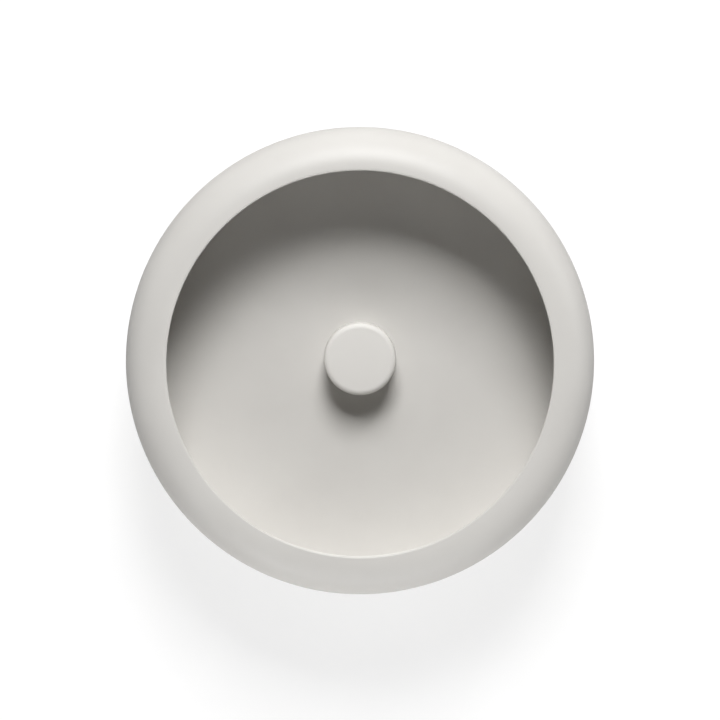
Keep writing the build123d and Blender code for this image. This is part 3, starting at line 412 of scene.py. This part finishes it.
def foot_ring():
    outline = arc(FOOT_IN_R + FOOT_EDGE, FOOT_EDGE, FOOT_EDGE, FOOT_EDGE, 180, 270, 8)
    outline += arc(FOOT_OUT_R - FOOT_EDGE, FOOT_EDGE, FOOT_EDGE, FOOT_EDGE, 270, 360, 8)
    top = BASE_Z + FOOT_GROOVE
    outline += [(FOOT_OUT_R, top), (FOOT_IN_R, top)]
    piece = new_piece("foot", spin(outline), "lamp", SHARP_TURNED)
    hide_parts("foot_ring")
    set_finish(piece, "foot")
    return piece


# ---- Port flap, laid on the bowl's curve ----

def port_flap():
    bm = bmesh.new()
    width = PORT_W - 2 * PORT_GAP
    height = PORT_H - 2 * PORT_GAP

    def ring(shrink, depth):
        verts = []
        for x, z in slot_outline(width - 2 * shrink, height - 2 * shrink):
            r = bowl_r(PORT_Z + z) - depth
            verts.append(bm.verts.new((x, -math.sqrt(r * r - x * x), PORT_Z + z)))
        return verts

    rings = [ring(share * height / 2, 0.0) for share in FLAP_FACE_SHARES]
    for i in range(FLAP_EDGE_STEPS + 1):
        t = math.radians(90 * i / FLAP_EDGE_STEPS)
        rings.append(ring(FLAP_EDGE * (1 - math.sin(t)), FLAP_EDGE * (1 - math.cos(t))))
    rings.append(ring(0, FLAP_T))
    rings.append(ring(FLAP_PLUG_INSET, FLAP_T))
    plug = []
    for x, z in slot_outline(width - 2 * FLAP_PLUG_INSET, height - 2 * FLAP_PLUG_INSET):
        plug.append(bm.verts.new((x, -PORT_FACE_Y, PORT_Z + z)))
    rings.append(plug)
    join_rings(bm, rings)
    # the middle strip of the face follows the curve, between the two halves of the slot
    first = rings[0]
    half = len(first) // 2
    for i in range(half - 1):
        bm.faces.new((first[i], first[i + 1], first[len(first) - 2 - i], first[len(first) - 1 - i]))
    bm.faces.new(list(reversed(plug)))
    piece = new_piece("flap", bm, "port_flap", SHARP_FLAP)
    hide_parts("port_flap")
    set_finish(piece, "flap")
    return piece


# ---- Materials ----

def graph(name):
    """A new material, its node tree and its Principled shader."""
    material = bpy.data.materials.new(name)
    material.use_nodes = True
    tree = material.node_tree
    shader = tree.nodes["Principled BSDF"]
    return material, tree, shader


def noise(tree, scale, detail=3.0, rough=0.5):
    coords = tree.nodes.new("ShaderNodeTexCoord")
    texture = tree.nodes.new("ShaderNodeTexNoise")
    texture.inputs["Scale"].default_value = scale
    texture.inputs["Detail"].default_value = detail
    texture.inputs["Roughness"].default_value = rough
    tree.links.new(coords.outputs["Object"], texture.inputs["Vector"])
    return texture.outputs["Fac"]


def spread(tree, value, low, high, out_low, out_high):
    scale = tree.nodes.new("ShaderNodeMapRange")
    scale.inputs["From Min"].default_value = low
    scale.inputs["From Max"].default_value = high
    scale.inputs["To Min"].default_value = out_low
    scale.inputs["To Max"].default_value = out_high
    tree.links.new(value, scale.inputs["Value"])
    return scale.outputs["Result"]


def mix(tree, share, first, second):
    """Two shaders mixed: share 0 is the first, 1 the second."""
    node = tree.nodes.new("ShaderNodeMixShader")
    tree.links.new(share, node.inputs["Fac"])
    tree.links.new(first, node.inputs[1])
    tree.links.new(second, node.inputs[2])
    return node.outputs["Shader"]


def tint(tree, value, dark, light):
    ramp = tree.nodes.new("ShaderNodeValToRGB")
    ramp.color_ramp.elements[0].position = 0.3
    ramp.color_ramp.elements[1].position = 0.7
    ramp.color_ramp.elements[0].color = (*dark, 1)
    ramp.color_ramp.elements[1].color = (*light, 1)
    tree.links.new(value, ramp.inputs["Fac"])
    return ramp.outputs["Color"]


def bump(tree, height, distance, strength, under=None):
    node = tree.nodes.new("ShaderNodeBump")
    node.inputs["Distance"].default_value = distance
    node.inputs["Strength"].default_value = strength
    tree.links.new(height, node.inputs["Height"])
    if under:
        tree.links.new(under, node.inputs["Normal"])
    return node.outputs["Normal"]


def surface(name, dark, light, rough, grain, depth, patch=40.0, metallic=0.0):
    """A surface with slow patches of colour and roughness, and a fine grain in its bump.

    dark, light and rough are ranges' ends; grain and patch are noise scales; depth is the grain's, in metres.
    """
    material, tree, shader = graph(name)
    slow = noise(tree, patch, 4.0)
    fine = noise(tree, grain, 2.0)
    tree.links.new(tint(tree, slow, dark, light), shader.inputs["Base Color"])
    tree.links.new(spread(tree, slow, 0.3, 0.7, *rough), shader.inputs["Roughness"])
    tree.links.new(bump(tree, fine, depth, 1.0), shader.inputs["Normal"])
    shader.inputs["Metallic"].default_value = metallic
    return material


SHELL_DARK = (0.578, 0.563, 0.538)
SHELL_LIGHT = (0.604, 0.590, 0.564)
KNOB_PAINTED_LIGHT = 1.15  # painted light: the button's copy of the shell colour is made lighter, standing in for light on its face; the button is also more matt
KNOB_GLOSS = 0.15


def shell_material(name, shade=1.0, gloss=0.35):
    """Warm light-grey moulding: satin, with a fine spark-eroded grain and faint slow waves."""
    material, tree, shader = graph(name)
    slow = noise(tree, 25.0, 4.0)
    smears = noise(tree, 9.0, 5.0, 0.6)
    grain = noise(tree, 2600.0, 2.0)
    waves = noise(tree, 160.0, 2.0)
    # shade above 1 paints light into the colour, as on the button's copy of this material
    dark = [shade * c for c in SHELL_DARK]
    light = [shade * c for c in SHELL_LIGHT]
    tree.links.new(tint(tree, slow, dark, light), shader.inputs["Base Color"])
    tree.links.new(spread(tree, smears, 0.3, 0.7, 0.42, 0.48), shader.inputs["Roughness"])
    under = bump(tree, waves, 0.00002, 0.5)
    tree.links.new(bump(tree, grain, 0.00001, 0.8, under), shader.inputs["Normal"])
    shader.inputs["Specular IOR Level"].default_value = gloss
    return material


def diffuser_material():
    material, tree, shader = graph("diffuser")
    slow = noise(tree, 200.0, 2.0)
    tree.links.new(tint(tree, slow, (0.80, 0.80, 0.78), (0.86, 0.86, 0.84)), shader.inputs["Base Color"])
    tree.links.new(spread(tree, slow, 0.3, 0.7, 0.35, 0.45), shader.inputs["Roughness"])
    shader.inputs["Subsurface Weight"].default_value = 0.6
    shader.inputs["Subsurface Radius"].default_value = (0.004, 0.004, 0.0038)
    return material


FLOOR_DARK = (0.41, 0.41, 0.41)
FLOOR_LIGHT = (0.43, 0.43, 0.43)
FLOOR_GLOW = 2.4  # brightness added for the camera only
FLOOR_GLOW_SHARE = 0.30


def floor_material():
    """Pale floor, lighter for the camera than for the lamp. From below it is clear, for camera and light."""
    material, tree, shader = graph("floor")
    fine = noise(tree, 30.0, 3.0)
    tree.links.new(tint(tree, fine, FLOOR_DARK, FLOOR_LIGHT), shader.inputs["Base Color"])
    shader.inputs["Roughness"].default_value = 0.9
    shader.inputs["Specular IOR Level"].default_value = 0.1
    glow = tree.nodes.new("ShaderNodeEmission")
    glow.inputs["Strength"].default_value = FLOOR_GLOW
    clear = tree.nodes.new("ShaderNodeBsdfTransparent")
    path = tree.nodes.new("ShaderNodeLightPath")
    side = tree.nodes.new("ShaderNodeNewGeometry")
    share = spread(tree, path.outputs["Is Camera Ray"], 0, 1, 0, FLOOR_GLOW_SHARE)
    lit = mix(tree, share, shader.outputs["BSDF"], glow.outputs["Emission"])
    below = tree.nodes.new("ShaderNodeMath")
    below.operation = "MAXIMUM"
    tree.links.new(side.outputs["Backfacing"], below.inputs[0])
    tree.links.new(path.outputs["Is Shadow Ray"], below.inputs[1])
    seen = mix(tree, below.outputs["Value"], lit, clear.outputs["BSDF"])
    tree.links.new(seen, tree.nodes["Material Output"].inputs["Surface"])
    return material


METAL = 1.0

LOOKS = {
    "shell": shell_material("shell"),
    "shell_knob": shell_material("shell_knob", KNOB_PAINTED_LIGHT, KNOB_GLOSS),
    "seal": surface("seal", (0.03, 0.03, 0.03), (0.05, 0.05, 0.05), (0.6, 0.75), 1500.0, 0.00002),
    "foot": surface("foot", (0.33, 0.32, 0.31), (0.38, 0.37, 0.36), (0.62, 0.78), 1200.0, 0.00003, 120.0),
    "flap": surface("flap", (0.46, 0.45, 0.43), (0.50, 0.49, 0.47), (0.55, 0.68), 1600.0, 0.00002, 120.0),
    "disc": surface("disc", (0.42, 0.41, 0.40), (0.47, 0.46, 0.45), (0.45, 0.6), 1400.0, 0.00003, 60.0),
    "steel": surface(
        "steel", (0.45, 0.45, 0.46), (0.62, 0.62, 0.63), (0.25, 0.42), 900.0, 0.00001, 300.0, METAL
    ),
    "zinc_steel": surface(
        "zinc_steel", (0.42, 0.43, 0.44), (0.60, 0.61, 0.63), (0.3, 0.5), 500.0, 0.00001, 90.0, METAL
    ),
    "nickel": surface(
        "nickel", (0.60, 0.58, 0.53), (0.72, 0.70, 0.65), (0.12, 0.25), 900.0, 0.000005, 200.0, METAL
    ),
    "pom": surface("pom", (0.78, 0.78, 0.76), (0.84, 0.84, 0.82), (0.35, 0.45), 900.0, 0.00001),
    "black_plastic": surface(
        "black_plastic", (0.02, 0.02, 0.02), (0.035, 0.035, 0.035), (0.4, 0.55), 1500.0, 0.00002
    ),
    "board": surface("board", (0.72, 0.73, 0.70), (0.78, 0.79, 0.77), (0.3, 0.42), 700.0, 0.00001),
    "led": surface("led", (0.80, 0.66, 0.15), (0.88, 0.75, 0.25), (0.3, 0.45), 900.0, 0.00001, 400.0),
    "cell_wrap": surface("cell_wrap", (0.08, 0.18, 0.34), (0.10, 0.22, 0.40), (0.22, 0.32), 400.0, 0.00002),
    "wire": surface("wire", (0.38, 0.03, 0.02), (0.46, 0.05, 0.04), (0.4, 0.55), 900.0, 0.00001, 300.0),
    "plate": surface(
        "plate", (0.48, 0.48, 0.47), (0.56, 0.56, 0.55), (0.38, 0.50), 1100.0, 0.000008, 90.0, METAL
    ),
    "diffuser": diffuser_material(),
}


def paint(piece, slot_name):
    piece.data.materials.clear()
    piece.data.materials.append(LOOKS[slot_name])


# ---- Build ----

for piece in (rim_ring(), rear_shell(), knob_cap(), foot_ring(), port_flap()):
    paint(piece, piece["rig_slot"])

for row in frame["record"]["subparts"]:
    node = nodes[row["node"]]
    for material_slot in node.material_slots:
        material_slot.material = LOOKS[row["material_slot"]]
    if not node.hide_render:
        smooth(node.data, SHARP)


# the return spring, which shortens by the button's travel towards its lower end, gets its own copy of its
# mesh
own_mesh(nodes["return_spring"])


# ---- Floor, lights, camera ----

FLOOR_HALF = 4.0
BACKDROP = (0.9, 0.9, 0.9, 1)
ROOM_LIGHT = 0.025
KEY_ROLL = -18  # degrees
SENSOR = 36.0
CAMERA_DISTANCE = 5.0
CAMERA_ELEVATION = 94.1  # just past straight above, towards the side away from the port
FRAME_WIDTH = 0.385
AIM = Vector((0, 0, 0.05))


def floor():
    bm = bmesh.new()
    bmesh.ops.create_grid(bm, x_segments=4, y_segments=4, size=FLOOR_HALF)
    mesh = bpy.data.meshes.new("floor")
    bm.to_mesh(mesh)
    bm.free()
    plane = bpy.data.objects.new("floor", mesh)
    bpy.context.scene.collection.objects.link(plane)
    plane.data.materials.append(floor_material())


def softbox(name, azimuth, elevation, distance, width, height, radiance, roll=0.0):
    """An area light aimed at the lamp. Azimuth runs clockwise from +Y, seen from above."""
    data = bpy.data.lights.new(name, "AREA")
    data.shape = "RECTANGLE"
    data.size = width
    data.size_y = height
    data.energy = math.pi * width * height * radiance
    light = bpy.data.objects.new(name, data)
    az = math.radians(azimuth)
    el = math.radians(elevation)
    towards = Vector((math.sin(az) * math.cos(el), math.cos(az) * math.cos(el), math.sin(el)))
    facing = towards.to_track_quat("Z", "Y").to_matrix().to_4x4()
    turn = Matrix.Rotation(math.radians(roll), 4, "Z")
    light.matrix_world = Matrix.Translation(AIM + towards * distance) @ facing @ turn
    bpy.context.scene.collection.objects.link(light)


def camera():
    data = bpy.data.cameras.new("camera")
    data.sensor_width = SENSOR
    data.lens = SENSOR * CAMERA_DISTANCE / FRAME_WIDTH
    view = bpy.data.objects.new("camera", data)
    el = math.radians(CAMERA_ELEVATION)
    view.location = AIM + CAMERA_DISTANCE * Vector((0, -math.cos(el), math.sin(el)))
    view.rotation_euler = (math.radians(90) - el, 0, 0)
    bpy.context.scene.collection.objects.link(view)
    bpy.context.scene.camera = view


def studio():
    """A dim room that the camera sees as a pale backdrop."""
    world = bpy.data.worlds.new("studio")
    bpy.context.scene.world = world
    world.use_nodes = True
    tree = world.node_tree
    room = tree.nodes["Background"]
    room.inputs["Strength"].default_value = ROOM_LIGHT
    backdrop = tree.nodes.new("ShaderNodeBackground")
    backdrop.inputs["Color"].default_value = BACKDROP
    path = tree.nodes.new("ShaderNodeLightPath")
    is_camera = path.outputs["Is Camera Ray"]
    seen = mix(tree, is_camera, room.outputs["Background"], backdrop.outputs["Background"])
    tree.links.new(seen, tree.nodes["World Output"].inputs["Surface"])


floor()
camera()
# name, azimuth, elevation, distance, width, height, radiance
softbox("key", 2, 42.5, 3.0, 1.3, 1.42, 20.6, roll=KEY_ROLL)
softbox("card", 183, 9, 1.4, 2.3, 0.42, 6.3)
softbox("upper_card", 185, 32, 1.5, 1.0, 0.3, 3.8)
softbox("side", 75, 12, 1.5, 1.0, 0.5, 3.0)
softbox("far_side", 280, 12, 1.5, 1.0, 0.5, 1.3)
softbox("under", 30, -75, 1.6, 1.3, 1.3, 1.8)
studio()

bpy.context.scene.view_settings.view_transform = "Standard"
